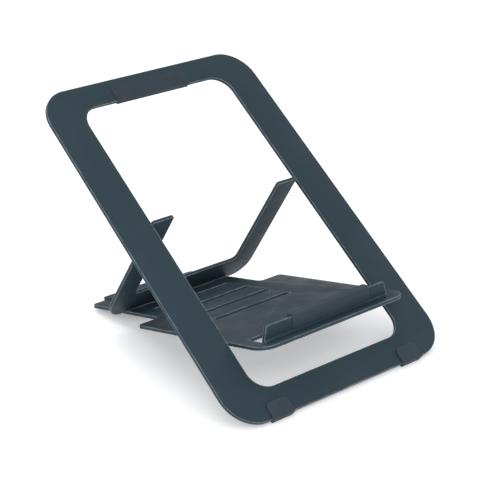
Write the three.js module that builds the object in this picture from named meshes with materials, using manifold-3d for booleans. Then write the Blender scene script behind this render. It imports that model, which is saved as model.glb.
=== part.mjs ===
import * as THREE from "three";
import { mergeVertices } from "three/addons/utils/BufferGeometryUtils.js";
import Module from "manifold-3d";

// Folding laptop stand of flat steel sheet: a frame that leans back, a U-shaped leg and a
// slotted tray hinged inside the frame's opening, and slip-on rubber parts. Millimetres.

const wasm = await Module();
wasm.setup();

const degrees = THREE.MathUtils.degToRad;

// Sheet steel and rubber
const SHEET = 2.5;
const FOOT_WALL = 1.2;
const PAD_WALL = 0.5;
const RUBBER_GAP = 0.1;
const FIT_GAP = 0.3;
const ARC_STEPS = 10;

// Frame, drawn flat: y runs up the slope, z = 0 is the front face
const FRAME_TILT = degrees(37.75);
const FRAME_LENGTH = 281;
const FRAME_HALF_BOTTOM = 105;
const FRAME_HALF_TOP = 98.5;
const FRAME_RADIUS_BOTTOM = 26;
const FRAME_RADIUS_TOP = 25;
const OPENING_START = 21.5;
const OPENING_END = 262.3;
const OPENING_HALF_BOTTOM = 73.2;
const OPENING_HALF_TOP = 69.85;
const OPENING_RADIUS = 15;

// Leg, drawn flat: y runs from the hinge to the foot
const LEG_HINGE_Y = 161.9;
const LEG_TURN = degrees(-98.14);
const LEG_OVERRUN = 2.5;
const LEG_LENGTH = 102;
const LEG_HALF = 70.4;
const LEG_INNER_HALF = 51.4;
const LEG_BAR_START = 81.5;
const LEG_OUTER_RADIUS = 15;
const LEG_INNER_RADIUS = 4.5;
const LEG_TIP_RADIUS = 1;
const LEG_REST = 100.8;
const LEG_REST_HALF = 51.8;
const LEG_REST_RADIUS = 0.4;

// Tray, drawn flat: y runs from the hinge to the rear edge
const TRAY_HINGE_Y = 61.1;
const TRAY_TURN = degrees(-50.07);
const TRAY_FRONT = -36;
const TRAY_HALF_FRONT = 71.9;
const TRAY_HALF_STEP = 71.4;
const TRAY_FRONT_RADIUS = 12;
const TRAY_STEP = 93.8;
const TRAY_STEP_OUTER_RADIUS = 2.5;
const TRAY_STEP_INNER_RADIUS = 4;
const TRAY_NARROW_HALF_STEP = 51.1;
const TRAY_NARROW_HALF_REAR = 50.2;
const TRAY_REAR = 172.5;
const TRAY_REAR_RADIUS = 3.5;
const SLOT_FIRST = 49.6;
const SLOT_PITCH = 21.2;
const SLOT_COUNT = 5;
const SLOT_WIDTH = 5.8;
const SLOT_HALF_LENGTH = 37;
const SLOT_CORNER_RADIUS = 1;

// Lip, bent up out of the tray behind its front edge
const LIP_HALF_BASE = 61;
const LIP_HALF_TOP = 58.6;
const LIP_BEND_INNER = 1.2;
const LIP_LEAN = degrees(6);
const LIP_HEIGHT = 10.6;
const LIP_FRONT = -25.5;
const LIP_RISE = (LIP_HEIGHT - LIP_BEND_INNER) / Math.cos(LIP_LEAN);
const LIP_END_RELIEF = 1;
const LIP_WINDOW_DEPTH = 13;
const LIP_CORNER_RADIUS = 2;

// Rubber parts
const FOOT_WIDTH = 19.4;
const FOOT_REACH = 11.3;
const FOOT_FRONT_X = 65;
const REAR_PAD_WIDTH = 70.4;
const REAR_PAD_END_WALL = 4.2;
const PAD_WIDTH = 69;
const PAD_REACH = 12.8;
const RUBBER_CORNER = 4;
const RUBBER_EDGE_RADIUS = 0.6;
const SLEEVE_HALF_LENGTH = 38;
const SLEEVE_X = 4.1;
const SLEEVE_FRONT_WALL = 0.6;
const SLEEVE_TOP_WALL = 1.5;
const SLEEVE_BACK_WALL = 2.7;
const SLEEVE_BASE_GAP = 0.4;
const SLEEVE_FRONT_RADIUS = 0.5;
const SLEEVE_BACK_RADIUS = 1;
const SLEEVE_FOOT_RADIUS = 0.2;

// Hinge pins, let into the sheet edges
const PIN_RADIUS = 0.6;
const PIN_HOLE_RADIUS = 0.8;
const PIN_DEPTH = 6;
const PIN_COLLAR_RADIUS = 1.1;
const PIN_FACETS = 16;

const STEEL_PAINT = { color: 0x3c4852, roughness: 0.45, metalness: 0.3 };
const RUBBER = { color: 0x434e5a, roughness: 0.8, metalness: 0 };
const BRIGHT_STEEL = { color: 0xb4b8bc, roughness: 0.3, metalness: 1 };

// A closed outline through corners [x, y, radius], each rounded by a circular arc.
function roundedOutline(corners, path = new THREE.Shape()) {
  const count = corners.length;
  corners.forEach(([x, y, radius], i) => {
    const corner = new THREE.Vector2(x, y);
    const before = new THREE.Vector2(...corners[(i + count - 1) % count]);
    const after = new THREE.Vector2(...corners[(i + 1) % count]);
    const toBefore = before.sub(corner).normalize();
    const toAfter = after.sub(corner).normalize();
    const halfAngle = Math.acos(THREE.MathUtils.clamp(toBefore.dot(toAfter), -1, 1)) / 2;
    const centre = toBefore
      .clone()
      .add(toAfter)
      .normalize()
      .multiplyScalar(radius / Math.sin(halfAngle))
      .add(corner);
    const setback = radius / Math.tan(halfAngle);
    const start = toBefore.clone().multiplyScalar(setback).add(corner).sub(centre);
    const end = toAfter.clone().multiplyScalar(setback).add(corner).sub(centre);
    const clockwise = toBefore.cross(toAfter) > 0;
    path.absarc(centre.x, centre.y, radius, start.angle(), end.angle(), clockwise);
  });
  path.closePath();
  return path;
}

// Corners of an outline that mirrors the given half about x = 0.
function mirrored(half) {
  const other = half.map(([x, y, radius]) => [-x, y, radius]).reverse();
  return [...half, ...other];
}

// A flat blank of sheet, its mid-plane on z = 0.
function blank(outline, thickness = SHEET) {
  const geometry = new THREE.ExtrudeGeometry(outline, {
    depth: thickness,
    bevelEnabled: false,
    curveSegments: ARC_STEPS,
  });
  return geometry.translate(0, 0, -thickness / 2);
}

// A profile drawn in y and z, drawn out along x over a length centred on x = 0.
function alongX(profile, length) {
  const geometry = new THREE.ExtrudeGeometry(profile, {
    depth: length,
    bevelEnabled: false,
    curveSegments: ARC_STEPS,
  });
  const toYZ = new THREE.Matrix4().makeBasis(
    new THREE.Vector3(0, 1, 0),
    new THREE.Vector3(0, 0, 1),
    new THREE.Vector3(1, 0, 0),
  );
  return geometry.translate(0, 0, -length / 2).applyMatrix4(toYZ);
}

function solid(geometry) {
  const bare = geometry.index ? geometry.toNonIndexed() : geometry.clone();
  bare.deleteAttribute("normal");
  bare.deleteAttribute("uv");
  const merged = mergeVertices(bare, 1e-4);
  return new wasm.Manifold(
    new wasm.Mesh({
      numProp: 3,
      vertProperties: new Float32Array(merged.attributes.position.array),
      triVerts: new Uint32Array(merged.index.array),
    }),
  );
}

function geometryOf(body) {
  const mesh = body.getMesh();
  const geometry = new THREE.BufferGeometry();
  geometry.setAttribute("position", new THREE.BufferAttribute(new Float32Array(mesh.vertProperties), 3));
  geometry.setIndex(new THREE.BufferAttribute(new Uint32Array(mesh.triVerts), 1));
  geometry.computeVertexNormals();
  return geometry;
}

function part(name, geometry, finish) {
  const mesh = new THREE.Mesh(geometry, new THREE.MeshStandardMaterial(finish));
  mesh.name = name;
  return mesh;
}

// A drilled hole along x for a hinge pin, entering a sheet edge at x.
function pinHole(x, y, side) {
  const depth = PIN_DEPTH + FIT_GAP;
  const hole = new THREE.CylinderGeometry(PIN_HOLE_RADIUS, PIN_HOLE_RADIUS, 2 * depth, PIN_FACETS);
  return solid(hole.rotateZ(Math.PI / 2).translate(side * x, y, 0));
}

function openingHalfAt(y) {
  const share = (y - OPENING_START) / (OPENING_END - OPENING_START);
  return THREE.MathUtils.lerp(OPENING_HALF_BOTTOM, OPENING_HALF_TOP, share);
}

function trayHalfAt(y) {
  const share = (y - TRAY_FRONT) / (TRAY_STEP - TRAY_FRONT);
  return THREE.MathUtils.lerp(TRAY_HALF_FRONT, TRAY_HALF_STEP, share);
}

function frameGeometry() {
  const outline = roundedOutline(
    mirrored([
      [FRAME_HALF_BOTTOM, 0, FRAME_RADIUS_BOTTOM],
      [FRAME_HALF_TOP, FRAME_LENGTH, FRAME_RADIUS_TOP],
    ]),
  );
  outline.holes.push(
    roundedOutline(
      mirrored([
        [OPENING_HALF_BOTTOM, OPENING_START, OPENING_RADIUS],
        [OPENING_HALF_TOP, OPENING_END, OPENING_RADIUS],
      ]),
      new THREE.Path(),
    ),
  );
  let body = solid(blank(outline));
  for (const y of [LEG_HINGE_Y, TRAY_HINGE_Y]) {
    for (const side of [-1, 1]) {
      body = body.subtract(pinHole(openingHalfAt(y), y, side));
    }
  }
  return geometryOf(body);
}

// The leg's lower edge is cut back in the middle, so that it rests on the tray and its two
// outer ends reach down beside the tray's narrow part.
function legGeometry() {
  const outline = roundedOutline([
    [LEG_HALF, -LEG_OVERRUN, LEG_TIP_RADIUS],
    [LEG_HALF, LEG_LENGTH, LEG_OUTER_RADIUS],
    [LEG_REST_HALF, LEG_LENGTH, LEG_REST_RADIUS],
    [LEG_REST_HALF, LEG_REST, LEG_REST_RADIUS],
    [-LEG_REST_HALF, LEG_REST, LEG_REST_RADIUS],
    [-LEG_REST_HALF, LEG_LENGTH, LEG_REST_RADIUS],
    [-LEG_HALF, LEG_LENGTH, LEG_OUTER_RADIUS],
    [-LEG_HALF, -LEG_OVERRUN, LEG_TIP_RADIUS],
    [-LEG_INNER_HALF, -LEG_OVERRUN, LEG_TIP_RADIUS],
    [-LEG_INNER_HALF, LEG_BAR_START, LEG_INNER_RADIUS],
    [LEG_INNER_HALF, LEG_BAR_START, LEG_INNER_RADIUS],
    [LEG_INNER_HALF, -LEG_OVERRUN, LEG_TIP_RADIUS],
  ]);
  let body = solid(blank(outline));
  for (const side of [-1, 1]) {
    body = body.subtract(pinHole(LEG_HALF, 0, side));
  }
  return geometryOf(body);
}

// The bent flange of the lip, from the tray's front strip up to its free edge.
function lipBody() {
  const innerRadius = LIP_BEND_INNER;
  const outerRadius = LIP_BEND_INNER + SHEET;
  const bend = Math.PI / 2 + LIP_LEAN;
  const centre = new THREE.Vector2(LIP_FRONT - innerRadius, SHEET / 2 + innerRadius);
  const up = new THREE.Vector2(-Math.sin(LIP_LEAN), Math.cos(LIP_LEAN));
  const rearward = new THREE.Vector2(Math.cos(LIP_LEAN), Math.sin(LIP_LEAN));
  const innerTop = centre.clone().addScaledVector(rearward, innerRadius).addScaledVector(up, LIP_RISE);
  const outerTop = innerTop.clone().addScaledVector(rearward, SHEET);
  const overlap = 1;
  const profile = new THREE.Shape();
  profile.moveTo(centre.x - overlap, -SHEET / 2);
  profile.lineTo(centre.x, -SHEET / 2);
  profile.absarc(centre.x, centre.y, outerRadius, -Math.PI / 2, bend - Math.PI / 2, false);
  profile.lineTo(outerTop.x, outerTop.y);
  profile.lineTo(innerTop.x, innerTop.y);
  profile.absarc(centre.x, centre.y, innerRadius, bend - Math.PI / 2, -Math.PI / 2, true);
  profile.lineTo(centre.x - overlap, SHEET / 2);
  profile.closePath();
  const flange = solid(alongX(profile, 2 * LIP_HALF_BASE));
  // The ends taper and the free corners are rounded by keeping only what lies inside a
  // front view, which starts one bend radius below the sheet.
  const frontView = roundedOutline(
    mirrored([
      [LIP_HALF_BASE, -outerRadius, LIP_CORNER_RADIUS],
      [LIP_HALF_BASE, SHEET / 2, LIP_CORNER_RADIUS],
      [LIP_HALF_TOP, innerTop.y, LIP_CORNER_RADIUS],
    ]),
  );
  const keep = blank(frontView, 4 * LIP_HEIGHT).rotateX(Math.PI / 2);
  return flange.intersect(solid(keep.translate(0, LIP_FRONT, 0)));
}

function trayGeometry() {
  const outline = roundedOutline(
    mirrored([
      [TRAY_HALF_FRONT, TRAY_FRONT, TRAY_FRONT_RADIUS],
      [TRAY_HALF_STEP, TRAY_STEP, TRAY_STEP_OUTER_RADIUS],
      [TRAY_NARROW_HALF_STEP, TRAY_STEP, TRAY_STEP_INNER_RADIUS],
      [TRAY_NARROW_HALF_REAR, TRAY_REAR, TRAY_REAR_RADIUS],
    ]),
  );
  const windowHalf = LIP_HALF_BASE + LIP_END_RELIEF;
  const windowFront = LIP_FRONT - LIP_BEND_INNER;
  const windowRear = LIP_FRONT + SHEET + LIP_WINDOW_DEPTH;
  const lipWindow = mirrored([
    [windowHalf, windowFront, LIP_END_RELIEF / 2],
    [windowHalf, windowRear, LIP_END_RELIEF / 2],
  ]);
  outline.holes.push(roundedOutline(lipWindow, new THREE.Path()));
  for (let i = 0; i < SLOT_COUNT; i++) {
    const centre = SLOT_FIRST + i * SLOT_PITCH;
    const slot = mirrored([
      [SLOT_HALF_LENGTH, centre - SLOT_WIDTH / 2, SLOT_CORNER_RADIUS],
      [SLOT_HALF_LENGTH, centre + SLOT_WIDTH / 2, SLOT_CORNER_RADIUS],
    ]);
    outline.holes.push(roundedOutline(slot, new THREE.Path()));
  }
  let body = solid(blank(outline)).add(lipBody());
  for (const side of [-1, 1]) {
    body = body.subtract(pinHole(trayHalfAt(0), 0, side));
  }
  return geometryOf(body);
}

// A moulded rubber channel that slips over a straight sheet edge lying on y = 0, the sheet
// being on the side of positive y.
function edgeChannel(width, reach, wall, endWall = wall) {
  const outside = wall + RUBBER_GAP;
  const end = endWall + RUBBER_GAP;
  const outline = roundedOutline([
    [width / 2, -end, RUBBER_EDGE_RADIUS],
    [width / 2, reach, RUBBER_CORNER],
    [-width / 2, reach, RUBBER_CORNER],
    [-width / 2, -end, RUBBER_EDGE_RADIUS],
  ]);
  const block = solid(blank(outline, SHEET + 2 * outside));
  const room = new THREE.BoxGeometry(2 * width, 2 * reach, SHEET + 2 * RUBBER_GAP);
  return geometryOf(block.subtract(solid(room.translate(0, reach - RUBBER_GAP, 0))));
}

// The rubber bumper over the middle of the lip, thick on the side the laptop rests against.
function sleeveGeometry() {
  const frontFace = -RUBBER_GAP - SLEEVE_FRONT_WALL;
  const backFace = SHEET + RUBBER_GAP + SLEEVE_BACK_WALL;
  const top = LIP_RISE + RUBBER_GAP + SLEEVE_TOP_WALL;
  const outer = roundedOutline([
    [frontFace, SLEEVE_BASE_GAP, SLEEVE_FOOT_RADIUS],
    [backFace, SLEEVE_BASE_GAP, SLEEVE_FOOT_RADIUS],
    [backFace, top, SLEEVE_BACK_RADIUS],
    [frontFace, top, SLEEVE_FRONT_RADIUS],
  ]);
  const block = solid(alongX(outer, 2 * SLEEVE_HALF_LENGTH));
  const height = 2 * (LIP_RISE + RUBBER_GAP);
  const room = new THREE.BoxGeometry(4 * SLEEVE_HALF_LENGTH, SHEET + 2 * RUBBER_GAP, height);
  return geometryOf(block.subtract(solid(room.translate(0, SHEET / 2, 0))));
}

// A hinge pin lying along x, its collar centred on x = 0.
function pinGeometry(collarLength) {
  const half = collarLength / 2;
  const end = half + PIN_DEPTH;
  const profile = [
    [0, -end],
    [PIN_RADIUS, -end],
    [PIN_RADIUS, -half],
    [PIN_COLLAR_RADIUS, -half],
    [PIN_COLLAR_RADIUS, half],
    [PIN_RADIUS, half],
    [PIN_RADIUS, end],
    [0, end],
  ].map(([radius, along]) => new THREE.Vector2(radius, along));
  return new THREE.LatheGeometry(profile, PIN_FACETS).rotateZ(-Math.PI / 2);
}

// Assembly
const stand = new THREE.Group();
const frame = new THREE.Group();
const leg = new THREE.Group();
const tray = new THREE.Group();
stand.add(frame);
frame.add(leg, tray);
leg.position.set(0, LEG_HINGE_Y, 0);
leg.rotation.x = LEG_TURN;
tray.position.set(0, TRAY_HINGE_Y, 0);
tray.rotation.x = TRAY_TURN;

frame.add(part("frame", frameGeometry(), STEEL_PAINT));
leg.add(part("leg", legGeometry(), STEEL_PAINT));
tray.add(part("tray", trayGeometry(), STEEL_PAINT));

const topPad = part("top_pad", edgeChannel(PAD_WIDTH, PAD_REACH, PAD_WALL), RUBBER);
topPad.position.y = OPENING_END;
frame.add(topPad);

const lipSleeve = part("lip_sleeve", sleeveGeometry(), RUBBER);
lipSleeve.position.set(
  SLEEVE_X,
  LIP_FRONT - LIP_BEND_INNER * (1 - Math.cos(LIP_LEAN)),
  SHEET / 2 + LIP_BEND_INNER * (1 + Math.sin(LIP_LEAN)),
);
lipSleeve.rotation.x = LIP_LEAN;
tray.add(lipSleeve);

const rearChannel = edgeChannel(REAR_PAD_WIDTH, FOOT_REACH, FOOT_WALL, REAR_PAD_END_WALL);
const rearPad = part("rear_pad", rearChannel, RUBBER);
rearPad.position.y = TRAY_REAR;
rearPad.rotation.z = Math.PI;
tray.add(rearPad);

for (const [side, word] of [[-1, "left"], [1, "right"]]) {
  const frontFoot = part("front_foot_" + word, edgeChannel(FOOT_WIDTH, FOOT_REACH, FOOT_WALL), RUBBER);
  frontFoot.position.x = side * FOOT_FRONT_X;
  frame.add(frontFoot);

  for (const [piece, y, edge] of [
    ["leg", LEG_HINGE_Y, LEG_HALF],
    ["tray", TRAY_HINGE_Y, trayHalfAt(0)],
  ]) {
    const gap = openingHalfAt(y) - edge;
    const pin = part(piece + "_pin_" + word, pinGeometry(gap - 2 * FIT_GAP), BRIGHT_STEEL);
    pin.position.set(side * (edge + gap / 2), y, 0);
    frame.add(pin);
  }
}

// The stand leans back until the front feet and the rear pad touch the desk, centred over
// the origin.
frame.rotation.x = FRAME_TILT;
const bounds = new THREE.Box3().setFromObject(stand);
frame.position.set(0, -(bounds.min.y + bounds.max.y) / 2, -bounds.min.z);

export default stand;
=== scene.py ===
from math import cos, radians, sin

import bpy
from mathutils import Euler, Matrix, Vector

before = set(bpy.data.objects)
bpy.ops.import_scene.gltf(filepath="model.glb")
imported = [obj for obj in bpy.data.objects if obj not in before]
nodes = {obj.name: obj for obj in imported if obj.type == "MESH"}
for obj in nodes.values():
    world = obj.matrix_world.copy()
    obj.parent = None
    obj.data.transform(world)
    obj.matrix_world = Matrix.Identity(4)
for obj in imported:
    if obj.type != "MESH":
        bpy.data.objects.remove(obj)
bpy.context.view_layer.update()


# Frame: the large leaning loop, laser-cut from one 2.5 mm steel sheet, its cut edges broken
# by tumbling, then powder-coated dark blue-grey. The leg and tray below are cut from the
# same sheet and get the same coat.
EDGE_ROUND = 0.0005
SHARP_ANGLE = radians(35)

FULL_EDGE_LEAN = 0.86
FLAT_LEAN = 0.998

COAT_DARK = (0.0222, 0.0400, 0.0522)
COAT_LIGHT = (0.0256, 0.0438, 0.0564)
COAT_SPECKLE = (0.0354, 0.0550, 0.0680)
# Edge colour: a painted highlight along the rounded edges, over a little real rubbing of the coat.
COAT_WEAR_AND_HIGHLIGHT = (0.2700, 0.3200, 0.3600)


def round_edges(piece, width, segments=3):
    """Weld and flatten the sheet's facets, then roll a small radius over its sharp edges."""
    weld = piece.modifiers.new("weld", "WELD")
    weld.merge_threshold = 1e-6
    flatten = piece.modifiers.new("flatten", "DECIMATE")
    flatten.decimate_type = "DISSOLVE"
    flatten.angle_limit = radians(0.5)
    bevel = piece.modifiers.new("edge radius", "BEVEL")
    bevel.width = width
    bevel.segments = segments
    bevel.limit_method = "ANGLE"
    bevel.angle_limit = SHARP_ANGLE
    bevel.harden_normals = True
    bevel.use_clamp_overlap = True
    for polygon in piece.data.polygons:
        polygon.use_smooth = True


def add(tree, kind, inputs, **settings):
    """A new node in a tree. Each input takes a value or another node's output."""
    node = tree.nodes.new(kind)
    for name, value in settings.items():
        setattr(node, name, value)
    for name, value in inputs.items():
        if isinstance(value, bpy.types.NodeSocket):
            tree.links.new(value, node.inputs[name])
        else:
            node.inputs[name].default_value = value
    return node


def new_group(name, inputs, output):
    """An empty node group with a position input, number inputs and one number output."""
    group = bpy.data.node_groups.new(name, "ShaderNodeTree")
    group.interface.new_socket("Position", in_out="INPUT", socket_type="NodeSocketVector")
    for label in inputs:
        group.interface.new_socket(label, in_out="INPUT", socket_type="NodeSocketFloat")
    group.interface.new_socket(output, in_out="OUTPUT", socket_type="NodeSocketFloat")
    return group, group.nodes.new("NodeGroupInput").outputs


def mottle_group():
    """Fractal noise about one lump per 1/Scale metres, spread from Least to Most."""
    labels = ("Scale", "Detail", "Low", "High", "Least", "Most")
    group, given = new_group("mottle", labels, "Value")
    lumps = {"Vector": given["Position"], "Scale": given["Scale"], "Detail": given["Detail"]}
    noise = add(group, "ShaderNodeTexNoise", {**lumps, "Roughness": 0.55})
    spread = {
        "Value": noise.outputs["Fac"],
        "From Min": given["Low"],
        "From Max": given["High"],
        "To Min": given["Least"],
        "To Max": given["Most"],
    }
    curve = add(group, "ShaderNodeMapRange", spread, interpolation_type="SMOOTHSTEP")
    add(group, "NodeGroupOutput", {"Value": curve.outputs["Result"]})
    return group


# One edge mask: on the coat it carries a painted highlight, on the steel and the rubber real wear.
def edge_wear_and_highlight_group():
    """1 along outside edges and 0 on flats, broken into patches that keep at least Least.
    An edge is where a normal rounded over Radius leans away from the true one."""
    group, given = new_group("edge wear and highlight", ("Radius", "Patch Scale", "Least"), "Mask")
    rounded = add(group, "ShaderNodeBevel", {"Radius": given["Radius"]}, samples=4)
    flat = add(group, "ShaderNodeNewGeometry", {})
    pair = {0: rounded.outputs["Normal"], 1: flat.outputs["True Normal"]}
    agree = add(group, "ShaderNodeVectorMath", pair, operation="DOT_PRODUCT")
    lean = {
        "Value": agree.outputs["Value"],
        "From Min": FULL_EDGE_LEAN,
        "From Max": FLAT_LEAN,
        "To Min": 1.0,
        "To Max": 0.0,
    }
    edge = add(group, "ShaderNodeMapRange", lean, interpolation_type="SMOOTHSTEP")
    lumps = {"Position": given["Position"], "Scale": given["Patch Scale"], "Least": given["Least"]}
    patches = mottle(group, **lumps, Detail=4.0, Low=0.38, High=0.62, Most=1.0)
    both = {0: edge.outputs["Result"], 1: patches}
    marked_edges = add(group, "ShaderNodeMath", both, operation="MULTIPLY")
    add(group, "NodeGroupOutput", {"Mask": marked_edges.outputs["Value"]})
    return group


def mottle(tree, **inputs):
    return add(tree, "ShaderNodeGroup", inputs, node_tree=MOTTLE).outputs["Value"]


def edge_wear_and_highlight(tree, position, radius, patch_scale, least):
    inputs = {"Position": position, "Radius": radius, "Patch Scale": patch_scale, "Least": least}
    return add(tree, "ShaderNodeGroup", inputs, node_tree=EDGE_WEAR_AND_HIGHLIGHT).outputs["Mask"]


MOTTLE = mottle_group()
EDGE_WEAR_AND_HIGHLIGHT = edge_wear_and_highlight_group()


def spots(tree, position, scale, detail, low, high, least=0.0, most=1.0):
    """The mottle group placed in a material with its own values."""
    size = {"Position": position, "Scale": scale, "Detail": detail}
    return mottle(tree, **size, Low=low, High=high, Least=least, Most=most)


def blend_colours(tree, mask, first, second):
    """The first colour where the mask is 0 and the second where it is 1."""
    a, b = ((*colour, 1.0) if isinstance(colour, tuple) else colour for colour in (first, second))
    return add(tree, "ShaderNodeMix", {0: mask, 6: a, 7: b}, data_type="RGBA").outputs[2]


def relief(tree, height, depth, below=None):
    """A bumped normal of the given depth in metres, on top of any relief already made."""
    inputs = {"Height": height, "Distance": depth}
    if below:
        inputs["Normal"] = below
    return add(tree, "ShaderNodeBump", inputs).outputs["Normal"]


def start_material(name, offset=0.0):
    """A new material, its node tree, its shader and a position over the object."""
    material = bpy.data.materials.new(name)
    material.use_nodes = True
    tree = material.node_tree
    coordinates = add(tree, "ShaderNodeTexCoord", {})
    move = {"Vector": coordinates.outputs["Object"], "Location": (offset, 2 * offset, 3 * offset)}
    moved = add(tree, "ShaderNodeMapping", move)
    return material, tree, tree.nodes["Principled BSDF"], moved.outputs["Vector"]


def finish_material(tree, shader, colour, roughness, normal):
    """Join the varying colour, roughness and normal to the shader."""
    tree.links.new(colour, shader.inputs["Base Color"])
    tree.links.new(roughness, shader.inputs["Roughness"])
    tree.links.new(normal, shader.inputs["Normal"])


def powder_coat(name, offset):
    """Dark blue-grey powder coat: a fine orange-peel skin, faint speckle and edges lit by a
    painted highlight over light rubbing.
    """
    material, tree, shader, position = start_material(name, offset)
    cloud = spots(tree, position, 18, 4, 0.35, 0.65)
    speckle = spots(tree, position, 2600, 2, 0.45, 0.72, 0.0, 0.45)
    # The edges get a painted highlight, with some rubbed coat.
    edge_mask = edge_wear_and_highlight(tree, position, 0.0009, 140, 0.45)
    colour = blend_colours(tree, cloud, COAT_DARK, COAT_LIGHT)
    colour = blend_colours(tree, speckle, colour, COAT_SPECKLE)
    colour = blend_colours(tree, edge_mask, colour, COAT_WEAR_AND_HIGHLIGHT)
    smears = spots(tree, position, 45, 6, 0.3, 0.7, 0.40, 0.56)
    peel = relief(tree, spots(tree, position, 620, 2, 0.0, 1.0), 0.00004)
    grain = relief(tree, spots(tree, position, 3200, 2, 0.0, 1.0), 0.000012, peel)
    shader.inputs["Specular IOR Level"].default_value = 0.14
    finish_material(tree, shader, colour, smears, grain)
    return material


def wear(piece, material):
    piece.data.materials.clear()
    piece.data.materials.append(material)


round_edges(nodes["frame"], EDGE_ROUND)
wear(nodes["frame"], powder_coat("coat_frame", 0.0))


# Leg: the U-shaped strut cut from the same sheet, hinged at the tips of its two arms; the
# lower edge of its cross bar stands on the tray, and its outer ends reach down beside it.
round_edges(nodes["leg"], EDGE_ROUND)
wear(nodes["leg"], powder_coat("coat_leg", 0.7))


# Tray: the slotted plate through the frame's opening, with a lip sheared out of it and
# folded up behind its front edge. The bend is part of the same sheet.
round_edges(nodes["tray"], EDGE_ROUND)
wear(nodes["tray"], powder_coat("coat_tray", 1.3))


# Hinge pins: four turned steel pins let into the cut edges of the sheets, a collar
# keeping the leg and the tray clear of the frame. Bare metal, lightly oiled.
PIN_EDGE_ROUND = 0.00008
STEEL_CLEAN = (0.50, 0.52, 0.54)
STEEL_STAINED = (0.25, 0.26, 0.27)
STEEL_RUBBED = (0.70, 0.71, 0.72)


def turned_steel():
    """Bright steel with fine rings left by the lathe, which run round the pin's length."""
    material, tree, shader, position = start_material("turned_steel")
    squeeze = {"Vector": position, "Scale": (9000, 120, 120)}
    along = add(tree, "ShaderNodeMapping", squeeze).outputs["Vector"]
    stain = spots(tree, position, 700, 3, 0.4, 0.7, 0.0, 0.6)
    edge_mask = edge_wear_and_highlight(tree, position, 0.0001, 1500, 0.3)
    colour = blend_colours(tree, stain, STEEL_CLEAN, STEEL_STAINED)
    colour = blend_colours(tree, edge_mask, colour, STEEL_RUBBED)
    roughness = spots(tree, along, 1.0, 2, 0.3, 0.7, 0.22, 0.42)
    rings = relief(tree, spots(tree, along, 1.0, 2, 0.0, 1.0), 0.000008)
    shader.inputs["Metallic"].default_value = 1.0
    finish_material(tree, shader, colour, roughness, rings)
    return material


pin_steel = turned_steel()
for part in ("leg", "tray"):
    for side in ("left", "right"):
        pin = nodes[f"{part}_pin_{side}"]
        round_edges(pin, PIN_EDGE_ROUND, 2)
        wear(pin, pin_steel)


# Top pad: a moulded rubber channel pushed over the top edge of the frame's opening, where
# the laptop's back leans. Soft rounded edges and a matt skin.
RUBBER_ROUND = 0.00055
RUBBER_DARK = (0.0295, 0.0425, 0.0555)
RUBBER_LIGHT = (0.0335, 0.0465, 0.0605)
RUBBER_DUST = (0.0560, 0.0680, 0.0810)
RUBBER_EDGE = (0.0600, 0.0750, 0.0900)


def moulded_rubber(name, offset, painted_light_scale):
    """Matt blue-grey silicone rubber with a fine sparked skin, dust and handled edges, its colours
    lightened or darkened per part as painted light.
    """
    # Every colour is scaled per part: lit and shaded copies of one rubber, painted light where a
    # part gets too little lamp light, painted shade where it gets too much.
    dark, light, dusty, edge = (
        tuple(painted_light_scale * channel for channel in colour)
        for colour in (RUBBER_DARK, RUBBER_LIGHT, RUBBER_DUST, RUBBER_EDGE)
    )
    material, tree, shader, position = start_material(name, offset)
    cloud = spots(tree, position, 60, 3, 0.35, 0.65)
    dust = spots(tree, position, 1500, 4, 0.58, 0.78, 0.0, 0.5)
    handled = edge_wear_and_highlight(tree, position, 0.0008, 200, 0.6)
    colour = blend_colours(tree, cloud, dark, light)
    colour = blend_colours(tree, dust, colour, dusty)
    colour = blend_colours(tree, handled, colour, edge)
    dull = spots(tree, position, 90, 4, 0.3, 0.7, 0.58, 0.74)
    skin = relief(tree, spots(tree, position, 2200, 3, 0.0, 1.0), 0.00002)
    shader.inputs["Specular IOR Level"].default_value = 0.18
    finish_material(tree, shader, colour, dull, skin)
    return material


round_edges(nodes["top_pad"], RUBBER_ROUND)
# 0.92 darkens the top pad's rubber, a painted shade.
wear(nodes["top_pad"], moulded_rubber("rubber_top_pad", 0.2, 0.92))


# Lip sleeve: a rubber bumper slipped down over the middle of the lip, thick on the side
# that the laptop's front edge rests against.
SLEEVE_ROUND = 0.00035
round_edges(nodes["lip_sleeve"], SLEEVE_ROUND)
# 1.16 lightens the sleeve's rubber, painted light against the lip's shade.
wear(nodes["lip_sleeve"], moulded_rubber("rubber_lip_sleeve", 0.9, 1.16))


# Feet: two small rubber channels over the frame's lower edge and one long pad over the
# tray's rear edge, moulded to the same section. They are all that touches the desk.
# 1.12 lightens the feet's rubber, painted light.
foot_rubber = moulded_rubber("rubber_feet", 1.6, 1.12)
for name in ("front_foot_left", "front_foot_right", "rear_pad"):
    round_edges(nodes[name], RUBBER_ROUND)
    wear(nodes[name], foot_rubber)


# Studio floor: a wide pale sheet of paper on a lit table, which keeps the shadow faint.
FLOOR_SIZE = 6.0
PAPER_DARK = (0.86, 0.86, 0.86)
PAPER_LIGHT = (0.88, 0.88, 0.88)
PAPER_GLOW = 0.30


def pale_floor():
    bpy.ops.mesh.primitive_plane_add(size=FLOOR_SIZE, location=(0, 0, 0))
    floor = bpy.context.object
    floor.name = "studio_floor"
    material, tree, shader, position = start_material("pale_paper")
    tooth = spots(tree, position, 400, 3, 0.3, 0.7)
    colour = blend_colours(tree, tooth, PAPER_DARK, PAPER_LIGHT)
    tree.links.new(colour, shader.inputs["Base Color"])
    shader.inputs["Roughness"].default_value = 0.9
    shader.inputs["Specular IOR Level"].default_value = 0.1
    shader.inputs["Emission Color"].default_value = (1.0, 1.0, 1.0, 1.0)
    shader.inputs["Emission Strength"].default_value = PAPER_GLOW
    floor.data.materials.append(material)
    return floor


pale_floor()


# Studio light: an even pale surround and four soft boxes.
MIDDLE = Vector((0, 0, 0.08))


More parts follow.
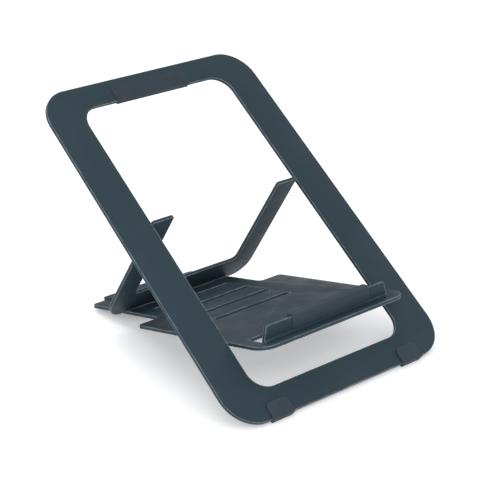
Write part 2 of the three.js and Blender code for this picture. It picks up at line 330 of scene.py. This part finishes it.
def direction(azimuth, elevation):
    """The way from the object towards an azimuth from its front and a height, in radians."""
    level = cos(elevation)
    return Vector((sin(azimuth) * level, -cos(azimuth) * level, sin(elevation)))


def soft_box(name, azimuth, elevation, distance, size, power):
    """An area light facing the object from the given direction, in degrees and metres."""
    light = bpy.data.lights.new(name, "AREA")
    light.shape = "SQUARE"
    light.size = size
    light.energy = power
    lamp = bpy.data.objects.new(name, light)
    towards = direction(radians(azimuth), radians(elevation))
    lamp.location = MIDDLE + towards * distance
    lamp.rotation_euler = towards.to_track_quat("Z", "Y").to_euler()
    bpy.context.scene.collection.objects.link(lamp)


soft_box("key_box", -30, 46, 2.8, 2.0, 25)
soft_box("back_box", 170, 55, 2.6, 1.6, 14)
soft_box("left_strip", -115, 30, 1.6, 0.5, 2)
soft_box("front_fill", -46, 20, 1.8, 0.9, 7)

surround = bpy.data.worlds.new("surround")
surround.use_nodes = True
backdrop = surround.node_tree.nodes["Background"]
backdrop.inputs["Color"].default_value = (0.96, 0.98, 1.0, 1.0)
backdrop.inputs["Strength"].default_value = 0.70
bpy.context.scene.world = surround


# Camera: a long lens looking down on the stand from its front left.
CAMERA_AZIMUTH = radians(-44.62)
CAMERA_ELEVATION = radians(22.20)
CAMERA_ROLL = radians(1.89)
CAMERA_TARGET = Vector((-0.00337, -0.00158, 0.07906))
CAMERA_DISTANCE = 1.2841
LENS_MM = 135
SENSOR_MM = 36


def studio_camera():
    camera = bpy.data.cameras.new("camera")
    camera.lens = LENS_MM
    camera.sensor_width = SENSOR_MM
    holder = bpy.data.objects.new("camera", camera)
    outward = direction(CAMERA_AZIMUTH, CAMERA_ELEVATION)
    holder.location = CAMERA_TARGET + outward * CAMERA_DISTANCE
    level = outward.to_track_quat("Z", "Y")
    turned = level.to_matrix() @ Euler((0, 0, CAMERA_ROLL)).to_matrix()
    holder.rotation_euler = turned.to_euler()
    bpy.context.scene.collection.objects.link(holder)
    return holder


bpy.context.scene.camera = studio_camera()
bpy.context.scene.view_settings.view_transform = "Standard"
